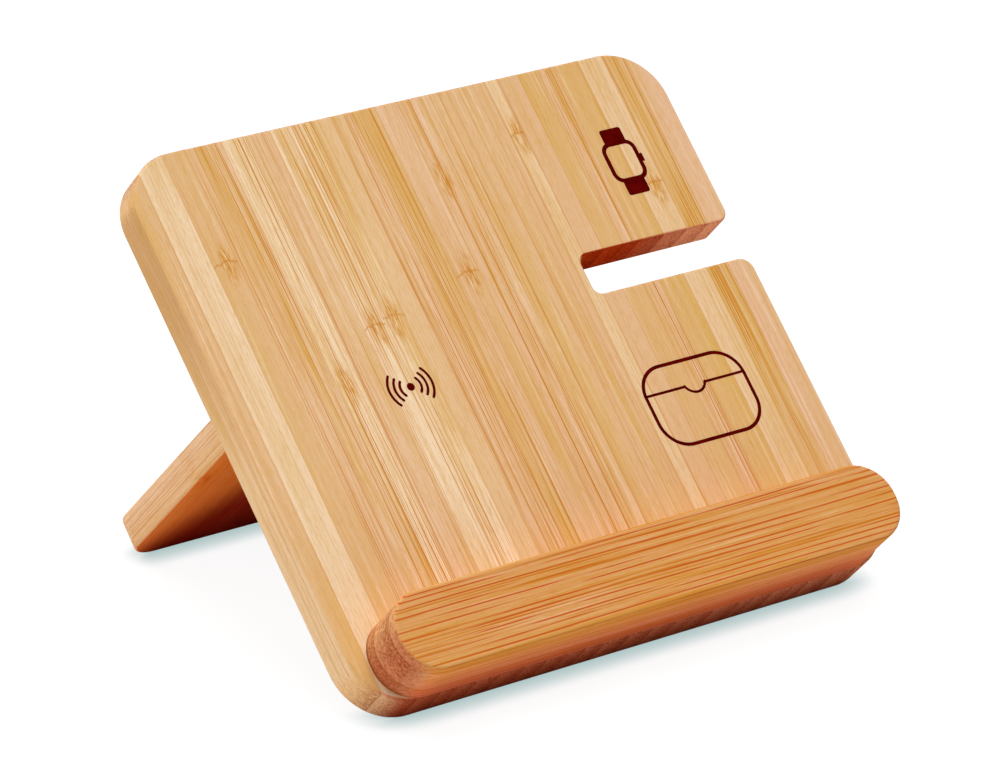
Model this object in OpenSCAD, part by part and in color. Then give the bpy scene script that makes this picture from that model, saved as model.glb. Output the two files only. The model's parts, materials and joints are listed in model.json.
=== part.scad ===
// Wireless charging stand: a tilted board with a ledge, a strap slot and a fold-out leg.
// Board coordinates: x runs across the board from its left side, y up the slope from its lower
// edge, z out of its front face. The stand is then laid back to its tilt and set on the floor.

/* [Panel] */
// Width of the panel
panel_w = 200; // [196:1:230]
// Height of the panel, measured up its slope
panel_h = 187.5; // [182:0.1:215]
// Thickness of the laminated board
panel_t = 13; // [13:0.5:16]
// Radius of the panel's four corners
corner_r = 18.5; // [10:0.5:24]
// Radius of the eased edges of all the bamboo pieces
edge_r = 1; // [0.6:0.1:1.4]

/* [Strap slot] */
// Height of the slot's lower wall above the panel's lower edge
slot_rise = 108.8; // [106:0.1:111]
// Width of the slot, measured up the slope
slot_gap = 13.6; // [10:0.1:15]
// Depth of the slot, in from the panel's right side
slot_depth = 60.3; // [50:0.1:62]
// Radius of the slot's two inner corners
slot_inner_r = 3; // [2:0.5:4]
// Radius of the corner above the slot's mouth
tongue_corner_r = 4; // [2:0.5:6]
// Radius of the corner below the slot's mouth
mouth_corner_r = 4.5; // [2:0.5:8]

/* [Ledge] */
// How far the ledge stands out from the panel's face
ledge_out = 20.5; // [14:0.5:28]
// Size of the ledge, measured up the slope
ledge_up = 26; // [25:0.5:30]
// Distance from each end of the ledge to the panel's side
ledge_inset = 6.4; // [4:0.1:12]
// Height of the ledge's lower side above the panel's lower edge
ledge_rise = 0.5; // [0:0.1:2]
// Radius of the ledge's rounded ends
ledge_end_r = 12.5; // [6:0.5:12.5]
// Diameter of the dowels that carry the ledge
dowel_d = 6; // [5:0.5:8]
// Length of a dowel
dowel_len = 20; // [16:0.5:22]
// Depth of the dowel holes in the panel
dowel_depth = 8; // [6:0.5:9]

/* [Leg] */
// Distance from the leg's right side to the inner end of the slot
leg_clear = 19.7; // [18:0.1:22]
// Width of the leg
leg_w = 107.5; // [96:0.5:109]
// Thickness of the leg
leg_t = 11.2; // [11:0.1:16]
// Angle between the leg and the panel's back below it when the leg is open
leg_angle = 91.7; // [90:0.1:95]
// Height of the hinge pins above the panel's lower edge, measured up its back
pivot_rise = 100.7; // [98:0.1:104]
// How far the folded leg's foot stays above the panel's lower edge
foot_inset = 0; // [0:0.5:6]
// Radius of the foot's two corners
foot_corner_r = 11; // [2:0.5:14]
// Gap between the leg and the panel's back, open or folded
leg_gap = 0.3; // [0.2:0.05:0.5]
// Depth of the flats on which the stand rests
floor_flat = 0.5; // [0.5:0.1:1.4]

/* [Hinges] */
// Length of a hinge, along its pin
hinge_len = 12; // [10:0.5:14]
// Width of a hinge leaf, from the pin to its end
leaf_w = 20; // [17:0.5:22]
// Thickness of a hinge leaf
leaf_t = 1.2; // [1:0.1:1.5]
// Distance from the leg's sides to the hinges
hinge_inset = 3; // [2:0.5:5]
// Diameter of a hinge barrel
barrel_d = 4.4; // [4:0.1:5]
// Diameter of a hinge pin
pin_d = 1.6; // [1.4:0.1:2]
// Diameter of the wood screws
screw_d = 2.2; // [2:0.1:2.5]
// Diameter of the wood screws' heads
screw_head_d = 4; // [3.8:0.1:4.4]
// Length of the wood screws
screw_len = 8; // [6:0.5:8]

/* [Coils] */
// Thickness of bamboo left in front of the coils
front_wall = 3; // [2.5:0.1:3.5]
// Distance from the leg's left side to the phone coil's centre
phone_across = 49.3; // [46:0.1:51]
// Height of the phone coil's centre up the slope
phone_rise = 94.8; // [90:0.1:96]
// Outer diameter of the phone coil
phone_coil_d = 40; // [36:0.5:40]
// Inner diameter of the phone coil
phone_coil_bore = 18; // [14:0.5:19]
// Distance from the panel's right side to the earbud coil's centre
earbud_in = 41.8; // [40:0.1:45]
// Height of the earbud coil's centre up the slope
earbud_rise = 66.9; // [66:0.1:70]
// Outer diameter of the earbud coil
earbud_coil_d = 32; // [26:0.5:32]
// Inner diameter of the earbud coil
earbud_coil_bore = 14; // [12:0.5:16]
// Distance from the panel's right side to the watch coil's centre
watch_in = 27.5; // [26:0.1:32]
// How far the watch coil's centre lies below the middle of the arm above the slot
watch_low = 5; // [3:0.1:7]
// Outer diameter of the watch coil
watch_coil_d = 26; // [22:0.5:28]
// Inner diameter of the watch coil
watch_coil_bore = 12; // [11:0.5:13]
// Diameter of the watch coil's centring magnet
magnet_d = 9; // [7:0.5:10]
// Diameter of the coils' wire
coil_wire = 1.1; // [0.9:0.1:1.3]
// Thickness of the ferrite discs behind the coils
ferrite_t = 1; // [0.8:0.1:1.5]

/* [Board and inlet] */
// Length of the circuit board
board_len = 63; // [62:0.5:64]
// Width of the circuit board
board_w = 22; // [21:0.5:22.5]
// Thickness of the circuit board
board_t = 1.6; // [1.2:0.1:1.6]
// Height of the board's middle line up the slope
board_rise = 32; // [31.5:0.1:33]
// Thickness of the wood round the inlet, in from the panel's right side
inlet_wall = 8; // [7:0.5:9]
// Width of the inlet's opening in the wood
inlet_w = 12; // [11:0.5:13]
// Height of the inlet's opening in the wood
inlet_h = 6.4; // [5.8:0.1:6.6]

/* [Back cover] */
// Thickness of the back cover
cover_t = 2; // [1.6:0.1:2.2]
// Radius of the cover's corners
cover_r = 4; // [3:0.5:5]
// Gap round the cover in its recess
cover_gap = 0.3; // [0.2:0.05:0.5]
// Width of the strip of cover that lies above a pocket's side
cover_lap = 6; // [5:0.5:6.5]

/* [Hidden] */
$fn = 48;

// Cuts run this far past the faces they open
past = 1;
// Side of the block that stands for the floor
floor_block = 4 * panel_w;

// Leg, pins and tilt
leg_len = pivot_rise - foot_inset;
lean = leg_angle - 90;
foot_y = pivot_rise + leg_len * sin(lean) + leg_gap * cos(lean);
foot_z = leg_len * cos(lean) - leg_gap * sin(lean);
tilt = atan2(foot_z, foot_y);

// Depth of the stand from its ledge to its leg, and the middle of it
front_reach = (ledge_rise + edge_r) * cos(tilt) - (ledge_out - edge_r + panel_t) * sin(tilt) - edge_r;
leg_back = pivot_rise * cos(tilt) + (leg_len - edge_r) * sin(tilt + lean)
    + (leg_gap + leg_t - edge_r) * cos(tilt + lean) + edge_r;
top_back = panel_h * cos(tilt);
mid_depth = (front_reach + max(leg_back, top_back)) / 2;

// Slot, and the leg beside it
slot_left = panel_w - slot_depth;
slot_top = slot_rise + slot_gap;
leg_left = slot_left - leg_clear - leg_w;

// Dowels
dowel_gap = 0.05;
dowel_y = ledge_rise + ledge_up / 2;
dowel_from_end = 24;
dowel_xs = [
    ledge_inset + dowel_from_end,
    panel_w / 2,
    panel_w - ledge_inset - dowel_from_end
];

// Hinges
knuckle_gap = 0.15;
pin_play = 0.05;
barrel_room = 0.4;
leaf_room = 0.2;
knuckle_len = hinge_len / 3;
hinge_xs = [leg_left + hinge_inset, leg_left + leg_w - hinge_inset - hinge_len];
leaf_screw_in = 4;
leaf_screw_ys = [barrel_d / 2 + barrel_room + leaf_screw_in, leaf_w - leaf_screw_in];

// Wood screws
screw_play = 0.05;
screw_head_h = 1.2;
screw_tip_h = 2;
screw_tip_d = 0.6;
recess_w = 0.6;
recess_len = 2.2;
recess_deep = 0.7;

// Coils and their pockets
pocket_room = 1.5;
ferrite_edge = 0.5;
phone_x = leg_left + phone_across;
earbud_x = panel_w - earbud_in;
watch_x = panel_w - watch_in;
watch_rise = (slot_top + panel_h) / 2 - watch_low;
phone_pocket_r = phone_coil_d / 2 + pocket_room;
earbud_pocket_r = earbud_coil_d / 2 + pocket_room;
watch_pocket_r = watch_coil_d / 2 + pocket_room;

// Inlet shell, on the board's front side, with its middle halfway through the panel
shell_w = 8.9;
shell_h = 3.2;
shell_len = 7.4;
shell_wall = 0.3;
shell_out = 0.8;
tongue_w = 6.7;
tongue_h = 0.7;
tongue_len = 5;
tongue_root = 1.2;

// Circuit board
board_room = 1;
board_right = panel_w - inlet_wall - board_room;
board_left = board_right - board_len;
board_front = panel_t / 2 + shell_h / 2;
board_back = board_front + board_t;
boss_r = 3;
boss_side = 3.2;
boss_left_in = 9;
boss_right_in = 3.5;
boss_spots = [
    for (x = [board_left + boss_left_in, board_right - boss_right_in])
        for (side = [-1, 1]) [x, board_rise + side * (board_w / 2 - boss_side)]
];
board_screw_d = 2;
board_screw_head_d = 3.8;
board_screw_head_h = 0.8;
board_screw_len = 4.5;

// Leads: two wires side by side, in grooves in the wood
lead_d = 0.9;
lead_pitch = 1.3;
lead_lift = 0.1;
lead_depth = front_wall + lead_lift + lead_d / 2;
groove_w = 3.6;
pad_in = 3;
watch_lead_x = board_left + pad_in;
pad_y = board_rise + board_w / 2 - pad_in;

// Parts on the board: distances from its left end, and from its middle line
main_chip = [6, 6, 0.9];
main_chip_x = 17;
drive_chip = [5, 4, 0.9];
drive_chip_y = -6.5;
inductor = [7, 7, 3];
inductor_xs = [26, 36, 46];
inductor_ys = [3, -0.5, 3];
capacitor = [1.6, 3.2, 1.6];
capacitor_row = [22, -7.5];
capacitor_step = 2.6;
capacitor_pair = [12.5, 2.2];

// Back cover: five overlapping blocks, each as [left, low, right, high]
cover_right_lap = 2;
leaf_wall = 4;
leaf_side_wall = 8.8;
leg_wall = 1;
slot_end_wall = 3;
slot_side_wall = 5;
cover_left = hinge_xs[0] + hinge_len + leaf_room + leaf_side_wall;
cover_low = board_rise - board_w / 2 - board_room - cover_lap;
cover_right = board_right + cover_right_lap;
band_top = pivot_rise - leaf_w - leaf_wall;
phone_block_right = phone_x + phone_pocket_r + cover_lap;
phone_block_top = phone_rise + phone_pocket_r + cover_lap;
column_left = leg_left + leg_w + leg_wall;
column_right = slot_left - slot_end_wall;
shelf_top = earbud_rise + earbud_pocket_r + cover_lap;
tongue_low = slot_top + slot_side_wall;
tongue_top = watch_rise + watch_pocket_r + cover_lap;
cover_blocks = [
    [cover_left, cover_low, cover_right, band_top],
    [cover_left, cover_low, phone_block_right, phone_block_top],
    [column_left, cover_low, cover_right, shelf_top],
    [column_left, cover_low, column_right, tongue_top],
    [column_left, tongue_low, cover_right, tongue_top]
];
screw_in = 5;
cover_screw_spots = [
    [cover_left + screw_in, cover_low + screw_in],
    [(phone_x + column_left) / 2, cover_low + screw_in],
    [cover_left + screw_in, phone_block_top - screw_in],
    [phone_block_right - screw_in, phone_block_top - screw_in],
    [column_left - screw_in, band_top - screw_in],
    [cover_right - screw_in, shelf_top - screw_in],
    [cover_right - screw_in, tongue_low + screw_in],
    [cover_right - screw_in, tongue_top - screw_in],
    [(column_left + column_right) / 2, tongue_top - screw_in]
];

// Colours
bamboo = [0.89, 0.71, 0.50];
bamboo_ledge = [0.83, 0.58, 0.32];
steel = [0.75, 0.75, 0.77];
copper = [0.80, 0.45, 0.25];
black_plastic = [0.13, 0.13, 0.14];
ferrite_grey = [0.25, 0.24, 0.24];
board_green = [0.10, 0.35, 0.20];

// Frames

module board_frame() {
    translate([0, -mid_depth, -floor_flat])
        rotate([tilt, 0, 0])
            translate([-panel_w / 2, 0, panel_t])
                children();
}

// x across, y along the leg from its pins, z up from its underside
module leg_frame() {
    board_frame()
        translate([0, pivot_rise, -panel_t])
            rotate([leg_angle - 180, 0, 0])
                children();
}

// z runs back into the board from a depth behind its face
module behind_face(depth) {
    translate([0, 0, -depth])
        mirror([0, 0, 1])
            children();
}

// z runs forward into the board from its back
module from_back() {
    translate([0, 0, -panel_t])
        children();
}

module above_floor() {
    difference() {
        children();
        translate([-floor_block / 2, -floor_block / 2, -floor_block])
            cube(floor_block);
    }
}

// Eased shapes

// The bit that rounding takes off a square corner at the origin
module ease_bit(r) {
    difference() {
        translate([-past, -past])
            square(r + past);
        translate([r, r])
            circle(r);
    }
}

// Section of a slab: its low and its high corners are rounded by radii of their own
module eased_section(wide, thick, low, high) {
    difference() {
        square([wide, thick]);
        for (side = [0, 1])
            translate([side * wide, 0])
                mirror([side, 0]) {
                    if (low > 0)
                        ease_bit(low);
                    translate([0, thick])
                        mirror([0, 1])
                            ease_bit(high);
                }
    }
}

module eased_slab(wide, long, thick, low, high) {
    intersection() {
        translate([0, long, 0])
            rotate([90, 0, 0])
                linear_extrude(long)
                    eased_section(wide, thick, low, high);
        rotate([90, 0, 90])
            linear_extrude(wide)
                eased_section(long, thick, low, high);
    }
}

module eased_disc(r, thick, low, high) {
    rotate_extrude()
        difference() {
            square([r, thick]);
            translate([r, 0])
                mirror([1, 0]) {
                    if (low > 0)
                        ease_bit(low);
                    translate([0, thick])
                        mirror([0, 1])
                            ease_bit(high);
                }
        }
}

// Rounds a corner that stands at the origin, with the slab in +x and +y
module corner_cut(r, thick, low, high) {
    difference() {
        translate([-past, -past, -past])
            cube([r + past, r + past, thick + 2 * past]);
        translate([r, r, 0])
            eased_disc(r, thick, low, high);
    }
}

// Corner cuts at a slab's corners, each given as [x, y, towards +x or -x, towards +y or -y]
module corner_cuts(spots, r, thick, low, high) {
    for (s = spots)
        translate([s[0], s[1], 0])
            mirror([s[2] < 0 ? 1 : 0, 0, 0])
                mirror([0, s[3] < 0 ? 1 : 0, 0])
                    corner_cut(r, thick, low, high);
}

// Strap slot

module flare_bit(r) {
    difference() {
        square([r, r + past]);
        circle(r);
    }
}

// Section of a cut whose mouths open out along rounded edges
module flared_section(wide, thick, r) {
    translate([0, -past])
        square([wide, thick + 2 * past]);
    for (side = [0, 1])
        translate([side * wide, 0])
            mirror([side, 0]) {
                translate([-r, thick - r])
                    flare_bit(r);
                translate([-r, r])
                    mirror([0, 1])
                        flare_bit(r);
            }
}

module flared_disc(inner, thick, r) {
    rotate_extrude() {
        translate([0, -past])
            square([inner, thick + 2 * past]);
        translate([inner + r, thick - r])
            mirror([1, 0])
                flare_bit(r);
        translate([inner + r, r])
            mirror([1, 0])
                mirror([0, 1])
                    flare_bit(r);
    }
}

module strap_slot_cut() {
    translate([slot_left, slot_rise, -panel_t]) {
        translate([slot_inner_r, 0, 0])
            rotate([90, 0, 90])
                linear_extrude(slot_depth)
                    flared_section(slot_gap, panel_t, edge_r);
        translate([0, slot_gap - slot_inner_r, 0])
            rotate([90, 0, 0])
                linear_extrude(slot_gap - 2 * slot_inner_r)
                    flared_section(2 * slot_inner_r, panel_t, edge_r);
        for (y = [slot_inner_r, slot_gap - slot_inner_r])
            translate([slot_inner_r, y, 0])
                flared_disc(slot_inner_r, panel_t, edge_r);
    }
    translate([0, 0, -panel_t]) {
        corner_cuts([[panel_w, slot_top, -1, 1]], tongue_corner_r, panel_t, edge_r, edge_r);
        corner_cuts([[panel_w, slot_rise, -1, -1]], mouth_corner_r, panel_t, edge_r, edge_r);
    }
}

// Screws

// Countersunk screw along +z, its head's face at z = 0
module wood_screw() {
    difference() {
        union() {
            cylinder(d1 = screw_head_d, d2 = screw_d, h = screw_head_h);
            cylinder(d = screw_d, h = screw_len - screw_tip_h);
            translate([0, 0, screw_len - screw_tip_h])
                cylinder(d1 = screw_d, d2 = screw_tip_d, h = screw_tip_h);
        }
        for (turn = [0, 90])
            rotate([0, 0, turn])
                translate([-recess_len / 2, -recess_w / 2, -past])
                    cube([recess_len, recess_w, past + recess_deep]);
    }
}

module wood_screw_hole() {
    translate([0, 0, -past])
        cylinder(d = screw_head_d + 2 * screw_play, h = past);
    cylinder(d1 = screw_head_d + 2 * screw_play, d2 = screw_d + 2 * screw_play, h = screw_head_h);
    cylinder(d = screw_d + 2 * screw_play, h = screw_len + screw_play);
}

// Panel

module panel_plate() {
    from_back()
        difference() {
            eased_slab(panel_w, panel_h, panel_t, edge_r, edge_r);
            corner_cuts(
                [[0, 0, 1, 1], [panel_w, 0, -1, 1], [0, panel_h, 1, -1], [panel_w, panel_h, -1, -1]],
                corner_r, panel_t, edge_r, edge_r);
        }
}

module rounded_block(b, grow) {
    r = cover_r + grow;
    translate([b[0] - grow + r, b[1] - grow])
        square([b[2] - b[0] + 2 * grow - 2 * r, b[3] - b[1] + 2 * grow]);
    translate([b[0] - grow, b[1] - grow + r])
        square([b[2] - b[0] + 2 * grow, b[3] - b[1] + 2 * grow - 2 * r]);
    for (x = [b[0] - grow + r, b[2] + grow - r])
        for (y = [b[1] - grow + r, b[3] + grow - r])
            translate([x, y])
                circle(r);
}

module cover_outline(grow) {
    for (b = cover_blocks)
        rounded_block(b, grow);
}

module coil_pockets() {
    behind_face(front_wall) {
        translate([phone_x, phone_rise, 0])
            cylinder(r = phone_pocket_r, h = panel_t);
        translate([earbud_x, earbud_rise, 0])
            cylinder(r = earbud_pocket_r, h = panel_t);
        translate([watch_x, watch_rise, 0])
            cylinder(r = watch_pocket_r, h = panel_t);
    }
}

module board_pocket() {
    behind_face(front_wall)
        difference() {
            translate([board_left - board_room, board_rise - board_w / 2 - board_room, 0])
                cube([board_len + 2 * board_room, board_w + 2 * board_room, panel_t]);
            for (spot = boss_spots)
                translate([spot[0], spot[1], 0])
                    cylinder(r = boss_r, h = board_front - front_wall);
        }
    for (spot = boss_spots)
        behind_face(board_back - board_screw_len)
            translate([spot[0], spot[1], 0])
                cylinder(d = board_screw_d + 2 * screw_play, h = panel_t);
}

// Groove from a to b along x or along y
module groove(a, b) {
    low = [min(a[0], b[0]) - groove_w / 2, min(a[1], b[1]) - groove_w / 2];
    high = [max(a[0], b[0]) + groove_w / 2, max(a[1], b[1]) + groove_w / 2];
    behind_face(front_wall)
        translate([low[0], low[1], 0])
            cube([high[0] - low[0], high[1] - low[1], panel_t]);
}

module lead_grooves() {
    groove([phone_x, phone_rise - phone_coil_d / 2], [phone_x, board_rise]);
    groove([phone_x, board_rise], [board_left, board_rise]);
    groove([earbud_x, earbud_rise - earbud_coil_d / 2], [earbud_x, board_rise + board_w / 2]);
    groove([watch_x - watch_coil_d / 2, watch_rise], [watch_lead_x, watch_rise]);
    groove([watch_lead_x, watch_rise], [watch_lead_x, board_rise + board_w / 2]);
}

// Stadium-shaped bar along +x, its wide side along y, centred on y = 0 and z = 0
module stadium_bar(wide, high, len) {
    rotate([90, 0, 90])
        linear_extrude(len) {
            translate([-(wide - high) / 2, -high / 2])
                square([wide - high, high]);
            for (side = [-1, 1])
                translate([side * (wide - high) / 2, 0])
                    circle(d = high);
        }
}

module inlet_cut() {
    translate([panel_w - inlet_wall - past, board_rise, -panel_t / 2])
        stadium_bar(inlet_w, inlet_h, inlet_wall + 2 * past);
}

// Room for a leaf and its barrel, for a leaf that lies along +y under z = low + leaf_t
module leaf_recess(low) {
    translate([-leaf_room, 0, low - past])
        cube([hinge_len + 2 * leaf_room, leaf_w + leaf_room, leaf_t + past]);
    translate([-leaf_room, 0, 0])
        rotate([0, 90, 0])
            cylinder(d = barrel_d + 2 * barrel_room, h = hinge_len + 2 * leaf_room);
}

module panel_hinge_cuts() {
    for (x = hinge_xs)
        translate([x, pivot_rise, -panel_t])
            mirror([0, 1, 0]) {
                leaf_recess(0);
                for (y = leaf_screw_ys)
                    translate([hinge_len / 2, y, 0])
                        wood_screw_hole();
            }
}

module panel() {
    color(bamboo)
        above_floor()
            board_frame()
                difference() {
                    panel_plate();
                    strap_slot_cut();
                    from_back()
                        translate([0, 0, -past])
                            linear_extrude(cover_t + past)
                                cover_outline(cover_gap);
                    coil_pockets();
                    board_pocket();
                    lead_grooves();
                    inlet_cut();
                    panel_hinge_cuts();
                    for (spot = cover_screw_spots)
                        from_back()
                            translate([spot[0], spot[1], 0])
                                wood_screw_hole();
                    for (x = dowel_xs)
                        behind_face(-past)
                            translate([x, dowel_y, 0])
                                cylinder(d = dowel_d + 2 * dowel_gap, h = dowel_depth + past + dowel_gap);
                }
}

// Ledge and its dowels

module ledge() {
    long = panel_w - 2 * ledge_inset;
    color(bamboo_ledge)
        board_frame()
            difference() {
                translate([ledge_inset, ledge_rise, 0])
                    difference() {
                        eased_slab(long, ledge_up, ledge_out, 0, edge_r);
                        corner_cuts(
                            [[0, 0, 1, 1], [long, 0, -1, 1], [0, ledge_up, 1, -1], [long, ledge_up, -1, -1]],
                            ledge_end_r, ledge_out, 0, edge_r);
                    }
                for (x = dowel_xs)
                    translate([x, dowel_y, -past])
                        cylinder(d = dowel_d + 2 * dowel_gap, h = dowel_len - dowel_depth + past + dowel_gap);
            }
}

module ledge_dowels() {
    color(bamboo)
        board_frame()
            for (x = dowel_xs)
                translate([x, dowel_y, -dowel_depth])
                    cylinder(d = dowel_d, h = dowel_len);
}

// Leg

module leg_board() {
    start = -leg_t;
    long = leg_len - start;
    translate([leg_left, start, leg_gap])
        difference() {
            eased_slab(leg_w, long, leg_t, edge_r, edge_r);
            corner_cuts([[0, long, 1, -1], [leg_w, long, -1, -1]], foot_corner_r, leg_t, edge_r, edge_r);
        }
}

module leg() {
    color(bamboo)
        above_floor()
            difference() {
                leg_frame()
                    difference() {
                        leg_board();
                        for (x = hinge_xs)
                            translate([x, 0, 0]) {
                                leaf_recess(leg_gap);
                                for (y = leaf_screw_ys)
                                    translate([hinge_len / 2, y, leg_gap])
                                        wood_screw_hole();
                            }
                    }
                board_frame()
                    translate([leg_left - past, 0, -panel_t - leg_gap])
                        cube([leg_w + 2 * past, panel_h, 2 * panel_t]);
            }
}

// Hinges

// Leaf along +y, over z = low, with the knuckles that it carries: 0 the first, 1 the middle, 2 the last
module hinge_leaf(low, knuckles, bore) {
    cut_back = barrel_d / 2 + barrel_room;
    difference() {
        union() {
            translate([0, cut_back, low])
                cube([hinge_len, leaf_w - cut_back, leaf_t]);
            for (k = knuckles) {
                left = k * knuckle_len + (k == 0 ? 0 : knuckle_gap / 2);
                right = (k + 1) * knuckle_len - (k == 2 ? 0 : knuckle_gap / 2);
                translate([left, 0, low])
                    cube([right - left, cut_back + past, leaf_t]);
                translate([left, 0, 0])
                    rotate([0, 90, 0])
                        cylinder(d = barrel_d, h = right - left);
            }
        }
        translate([-past, 0, 0])
            rotate([0, 90, 0])
                cylinder(d = bore, h = hinge_len + 2 * past);
        for (y = leaf_screw_ys)
            translate([hinge_len / 2, y, low])
                wood_screw_hole();
    }
}

module panel_leaves() {
    color(steel)
        board_frame()
            for (x = hinge_xs)
                translate([x, pivot_rise, -panel_t])
                    mirror([0, 1, 0])
                        hinge_leaf(0, [0, 2], pin_d);
}

module leg_leaves() {
    color(steel)
        leg_frame()
            for (x = hinge_xs)
                translate([x, 0, 0])
                    hinge_leaf(leg_gap, [1], pin_d + 2 * pin_play);
}

module hinge_pins() {
    color(steel)
        board_frame()
            for (x = hinge_xs)
                translate([x, pivot_rise, -panel_t])
                    rotate([0, 90, 0])
                        cylinder(d = pin_d, h = hinge_len);
}

module panel_leaf_screws() {
    color(steel)
        board_frame()
            for (x = hinge_xs)
                for (y = leaf_screw_ys)
                    translate([x + hinge_len / 2, pivot_rise - y, -panel_t])
                        wood_screw();
}

module leg_leaf_screws() {
    color(steel)
        leg_frame()
            for (x = hinge_xs)
                for (y = leaf_screw_ys)
                    translate([x + hinge_len / 2, y, leg_gap])
                        wood_screw();
}

// Back cover

module back_cover() {
    color(black_plastic)
        board_frame()
            from_back()
                difference() {
                    linear_extrude(cover_t)
                        cover_outline(0);
                    for (spot = cover_screw_spots)
                        translate([spot[0], spot[1], 0])
                            wood_screw_hole();
                }
}

module cover_screws() {
    color(steel)
        board_frame()
            from_back()
                for (spot = cover_screw_spots)
                    translate([spot[0], spot[1], 0])
                        wood_screw();
}

// Coils

// Flat winding: rings of wire side by side, each touching the next
module winding(outer_d, bore_d) {
    turns = round((outer_d - bore_d) / 2 / coil_wire);
    overlap = 0.04;
    rotate_extrude()
        for (i = [0 : turns - 1])
            translate([outer_d / 2 - coil_wire / 2 - i * (coil_wire - overlap), coil_wire / 2])
                circle(d = coil_wire);
}

module coil_at(x, y, outer_d, bore_d) {
    color(copper)
        board_frame()
            behind_face(front_wall)
                translate([x, y, 0])
                    winding(outer_d, bore_d);
}

module ferrite_at(x, y, outer_d) {
    color(ferrite_grey)
        board_frame()
            behind_face(front_wall + coil_wire)
                translate([x, y, 0])
                    cylinder(d = outer_d + 2 * ferrite_edge, h = ferrite_t);
}

module phone_coil() {
    coil_at(phone_x, phone_rise, phone_coil_d, phone_coil_bore);
}

module phone_ferrite() {
    ferrite_at(phone_x, phone_rise, phone_coil_d);
}

module earbud_coil() {
    coil_at(earbud_x, earbud_rise, earbud_coil_d, earbud_coil_bore);
}

module earbud_ferrite() {
    ferrite_at(earbud_x, earbud_rise, earbud_coil_d);
}

module watch_coil() {
    coil_at(watch_x, watch_rise, watch_coil_d, watch_coil_bore);
}

module watch_ferrite() {
    ferrite_at(watch_x, watch_rise, watch_coil_d);
}

module watch_magnet() {
    color(steel)
        board_frame()
            behind_face(front_wall)
                translate([watch_x, watch_rise, 0])
                    cylinder(d = magnet_d, h = coil_wire);
}

// Circuit board

module circuit_board() {
    color(board_green)
        board_frame()
            behind_face(board_front)
                difference() {
                    translate([board_left, board_rise - board_w / 2, 0])
                        cube([board_len, board_w, board_t]);
                    for (spot = boss_spots)
                        translate([spot[0], spot[1], -past])
                            cylinder(d = board_screw_d + 2 * screw_play, h = board_t + 2 * past);
                }
}

module board_screws() {
    color(steel)
        board_frame()
            for (spot = boss_spots)
                translate([spot[0], spot[1], 0]) {
                    behind_face(board_back)
                        cylinder(d = board_screw_head_d, h = board_screw_head_h);
                    behind_face(board_back - board_screw_len + screw_play)
                        cylinder(d = board_screw_d, h = board_screw_len);
                }
}

// A part of a size [x, y, height], standing on the board's front side
module board_part(x, y, size) {
    translate([x - size[0] / 2, y - size[1] / 2, -board_front])
        cube(size);
}

module controller_chips() {
    color(black_plastic)
        board_frame() {
            board_part(board_left + main_chip_x, board_rise, main_chip);
            for (i = [1, 2])
                board_part(board_left + inductor_xs[i], board_rise + drive_chip_y, drive_chip);
        }
}

module power_inductors() {
    color(ferrite_grey)
        board_frame()
            for (i = [0 : 2])
                board_part(board_left + inductor_xs[i], board_rise + inductor_ys[i], inductor);
}

module capacitors() {
    color(bamboo)
        board_frame() {
            for (i = [0 : 3])
                board_part(
                    board_left + capacitor_row[0] + i * capacitor_step,
                    board_rise + capacitor_row[1], capacitor);
            for (side = [-1, 1])
                board_part(board_left + capacitor_pair[0], board_rise + side * capacitor_pair[1], capacitor);
        }
}

// Power inlet

module inlet_place() {
    board_frame()
        translate([board_right + shell_out - shell_len, board_rise, -panel_t / 2])
            children();
}

module inlet_shell() {
    color(steel)
        inlet_place()
            difference() {
                stadium_bar(shell_w, shell_h, shell_len);
                translate([tongue_root, 0, 0])
                    stadium_bar(shell_w - 2 * shell_wall, shell_h - 2 * shell_wall, shell_len);
            }
}

module inlet_tongue() {
    color(black_plastic)
        inlet_place()
            translate([tongue_root, -tongue_w / 2, -tongue_h / 2])
                cube([tongue_len, tongue_w, tongue_h]);
}

// Leads

// Wire through points, with a ball at each bend
module wire(points) {
    for (i = [0 : len(points) - 2]) {
        a = points[i];
        step = points[i + 1] - a;
        flat = norm([step[0], step[1]]);
        translate(a)
            rotate([0, atan2(flat, step[2]), atan2(step[1], step[0])])
                cylinder(d = lead_d, h = norm(step));
        if (i > 0)
            translate(a)
                sphere(d = lead_d);
    }
}

// Height of a coil's rim on one side, at a distance off its middle line
function rim(outer_d, off) = sqrt(pow(outer_d / 2, 2) - pow(off, 2));

module lead_place() {
    color(black_plastic)
        board_frame()
            children();
}

module phone_lead() {
    lead_place()
        for (side = [-1, 1]) {
            off = side * lead_pitch / 2;
            wire([
                [phone_x + off, phone_rise - rim(phone_coil_d, off), -lead_depth],
                [phone_x + off, board_rise + off, -lead_depth],
                [board_left + pad_in, board_rise + off, -lead_depth],
                [board_left + pad_in, board_rise + off, -board_front]
            ]);
        }
}

module earbud_lead() {
    lead_place()
        for (side = [-1, 1]) {
            off = side * lead_pitch / 2;
            wire([
                [earbud_x + off, earbud_rise - rim(earbud_coil_d, off), -lead_depth],
                [earbud_x + off, pad_y, -lead_depth],
                [earbud_x + off, pad_y, -board_front]
            ]);
        }
}

module watch_lead() {
    lead_place()
        for (side = [-1, 1]) {
            off = side * lead_pitch / 2;
            wire([
                [watch_x - rim(watch_coil_d, off), watch_rise - off, -lead_depth],
                [watch_lead_x + off, watch_rise - off, -lead_depth],
                [watch_lead_x + off, pad_y, -lead_depth],
                [watch_lead_x + off, pad_y, -board_front]
            ]);
        }
}

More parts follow.
